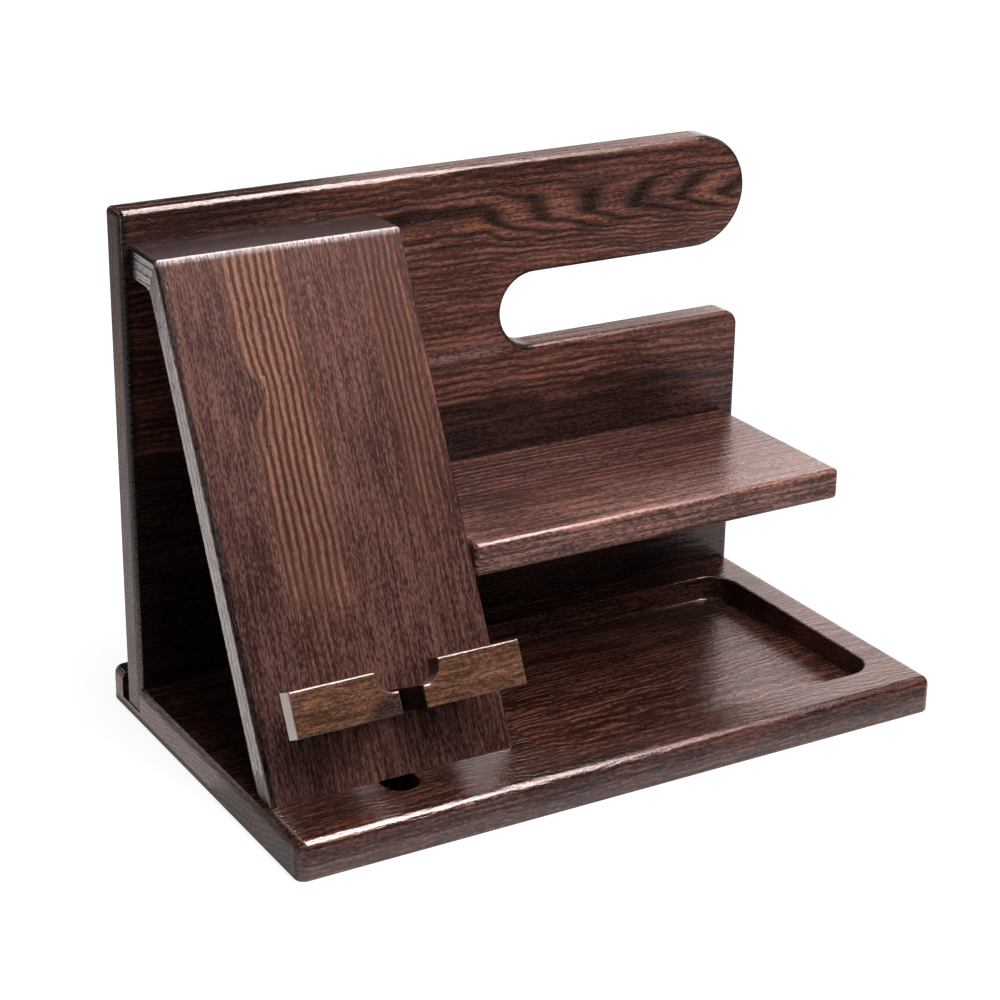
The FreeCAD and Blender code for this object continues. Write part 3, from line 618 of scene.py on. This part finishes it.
# Stand top: a short level board of the plate's ash, 13 mm thick, that goes back from the
# mitre at the plate's top edge to the panel, where two dowels hold it.
STAND_CORNER = (-136.4, 32.55, 194.0)
STAND_RINGS_DEEP, STAND_RINGS_ACROSS = 0.30, 0.25
STAND_LIT_ALONG, STAND_LIT_ACROSS = (17.0, 0.0, 0.15, 1.0), (98.0, 20.0, 0.25, 1.0)
STAND_BACK_TONE, STAND_NOSE_TONE = (0.030, 0.0140, 0.0140), (0.098, 0.0640, 0.0700)
STAND_SUMMER, STAND_SPRING = (0.046, 0.0210, 0.0200), (0.020, 0.0085, 0.0080)

make = Finish("stand_top_ash")
along, across, deep = make.board(STAND_CORNER, ALONG_Y, ALONG_X, DOWN)
board = make.together(along, across, deep)
rings = make.sum("MULTIPLY", across, STAND_RINGS_ACROSS)
rings = make.sum("MULTIPLY_ADD", deep, STAND_RINGS_DEEP, rings)
lit = make.sum("MULTIPLY", make.steps(along, *STAND_LIT_ALONG), make.steps(across, *STAND_LIT_ACROSS))
ground = make.mix(lit, STAND_BACK_TONE, STAND_NOSE_TONE)
finish_node("stand_top", stained_ash(
    make, board, rings, 0.25, ground, STAND_SUMMER, STAND_SPRING, 37.0, ALONG_Y,
    speckle=0.3, relief=0.5, painted_glint=0.012))

# Shelf board: an ash board 13 mm thick that stands out from the panel on three hidden
# dowels, with its grain along the length and its edges rounded over.
SHELF_CORNER = (-35.5, -24.75, 84.5)
SHELF_FIGURE = [  # millimetres from the front edge, rings, lean per 100 mm, strength
    (0.0, 0.0, 0.0, 0.55), (8.0, 1.2, 0.0, 0.35), (30.0, 4.6, 0.0, 0.30), (36.0, 6.0, 0.4, 0.55),
    (70.0, 15.0, 0.0, 0.75), (81.6, 18.0, 0.0, 0.50)]
SHELF_RINGS_DEEP = 0.34
SHELF_WANDER, SHELF_WANDER_SWING = (70.0, 30.0, 60.0), 8.0
SHELF_FRONT, SHELF_EDGE, SHELF_EDGE_SHEEN_TONE = (42.0, 4.0), (2.2, 0.8), (0.235, 0.1150, 0.0980)
SHELF_GROUNDS = (0.062, 0.0165, 0.0120), (0.165, 0.0670, 0.0520)
SHELF_SUMMERS = (0.110, 0.0380, 0.0290), (0.215, 0.0900, 0.0690)
SHELF_SPRING = (0.024, 0.0070, 0.0052)

make = Finish("shelf_ash")
along, across, deep = make.board(SHELF_CORNER, ALONG_X, ALONG_Y, DOWN)
board = make.together(along, across, deep)
wander = make.noise(board, SHELF_WANDER, 2.0, 0.5, 6.2)
rings, _, strength = make.figure(make.swayed(across, wander, SHELF_WANDER_SWING), SHELF_FIGURE)
rings = make.sum("MULTIPLY_ADD", deep, SHELF_RINGS_DEEP, rings)
# Lighter and greyer towards the front: partly lighter wood and partly painted sheen, for the pores
# catching the top light.
front = make.steps(across, *SHELF_FRONT)
ground = make.mix(front, *SHELF_GROUNDS)
# The front face and its round are painted pale and pinkish: painted sheen on the front edge.
ground = make.mix(make.steps(across, *SHELF_EDGE), ground, SHELF_EDGE_SHEEN_TONE)
finish_node("shelf_board", stained_ash(
    make, board, rings, strength, ground, make.mix(front, *SHELF_SUMMERS), SHELF_SPRING, 41.0, ALONG_X,
    speckle=0.90, dark_share=0.35, relief=0.7, painted_glint=0.022))

# Phone ledge: a block dowelled across the plate that carries two flat stops of lighter,
# more open ash, glued on with a gap between them for the charging lead.
LEDGE_CORNER = (-132.7, -45.6, 35.9)
LEDGE_WANDER, LEDGE_WANDER_RINGS = (20.0, 9.0, 20.0), 6.0
LEDGE_RINGS_DEEP, LEDGE_RINGS_ACROSS = 0.3, 0.22
NOTCH_SHADE_PLACE, NOTCH_SHADE_SIZE = (38.0, 0.0), (13.0, 11.0)
NOTCH_SHADE_TONE = (0.034, 0.0160, 0.0130)
STOP_TONES = (0.105, 0.0430, 0.0230), (0.165, 0.0720, 0.0380), (0.042, 0.0160, 0.0090)
# The block is painted near-black: painted shade, for the shadow it sits in behind the stops.
BLOCK_SHADE_TONES = (0.022, 0.0080, 0.0060), (0.030, 0.0110, 0.0080), (0.010, 0.0040, 0.0030)
# The ends of the block and the right stop are painted near-black: painted shade inside the gap. The left
# stop's end is painted pale cream: partly paler end grain and partly painted light from the left.
PALE_END, SHADED_END = (0.66, 0.49, 0.42), (0.010, 0.0050, 0.0040)
LEDGE_PIECES = (  # piece, finish, seed, tone of its end grain, its other tones
    ("ledge_block", "ledge_block_ash", 4.0, SHADED_END, BLOCK_SHADE_TONES),
    ("ledge_stop_left", "ledge_left_ash", 5.0, PALE_END, STOP_TONES),
    ("ledge_stop_right", "ledge_right_ash", 6.0, SHADED_END, STOP_TONES))

for node, name, seed, end_tone, (ground, summer, spring) in LEDGE_PIECES:
    make = Finish(name)
    along, across, deep = make.board(LEDGE_CORNER, ALONG_X, UP_SLOPE, INTO_PLATE)
    board = make.together(along, across, deep)
    rings = make.sum("MULTIPLY", across, LEDGE_RINGS_ACROSS)
    rings = make.sum("MULTIPLY_ADD", deep, LEDGE_RINGS_DEEP, rings)
    wander = make.noise(board, LEDGE_WANDER, 2.0, 0.5, seed)
    rings = make.sum("MULTIPLY_ADD", wander, LEDGE_WANDER_RINGS, rings)
    shade = make.spot(along, across, NOTCH_SHADE_PLACE, NOTCH_SHADE_SIZE)
    ground, summer = (make.mix(shade, tone, NOTCH_SHADE_TONE) for tone in (ground, summer))
    finish_node(node, stained_ash(
        make, board, rings, 0.55, ground, summer, spring, seed + 50.0, ALONG_X, speckle=0.80,
        dark_share=0.35, relief=0.4, specks=(1.6, 0.7, 0.7), end_dull=0.0, end_tone=end_tone))

# Dowels: round beech pins with chamfered ends, 6 mm for the shelf and the stand top and
# 4 mm for the ledge. They are glued into blind holes that hide them.
BEECH_TONES = (0.42, 0.27, 0.16), (0.50, 0.33, 0.20), (0.30, 0.18, 0.10)
BEECH_RINGS = 0.8

for number, node in enumerate(("shelf_dowels", "stand_dowels", "ledge_dowels")):
    make = Finish(node + "_beech")
    way = UP_SLOPE if node == "ledge_dowels" else ALONG_Y
    along, across, deep = make.board((0.0, 0.0, 0.0), ALONG_Y, ALONG_X, ALONG_Z)
    board = make.together(along, across, deep)
    rings = make.sum("MULTIPLY", across, BEECH_RINGS)
    finish_node(node, stained_ash(
        make, board, rings, 0.2, *BEECH_TONES, 70.0 + number, way,
        speckle=0.2, relief=0.3, painted_glint=0.0))

# Screws: countersunk wood screws of zinc-plated steel with a cross in the head, driven up
# from under the base into the panel's lower edge and the plate's foot.
ZINC_DULL, ZINC_BRIGHT = (0.42, 0.41, 0.38), (0.58, 0.57, 0.53)
ZINC_ROUGH = (0.3, 0.7, 0.28, 0.45)

make = Finish("screw_steel")
places = make.add("TexCoord").outputs["Object"]
wear = make.add("TexNoise", Vector=places, Scale=900.0, Detail=3.0).outputs[0]
make.put(make.shader.inputs["Base Color"], make.mix(wear, ZINC_DULL, ZINC_BRIGHT))
make.put(make.shader.inputs["Roughness"], make.steps(wear, *ZINC_ROUGH))
make.shader.inputs["Metallic"].default_value = 1.0
for node in ("panel_screws", "foot_screws"):
    finish_node(node, make.material)
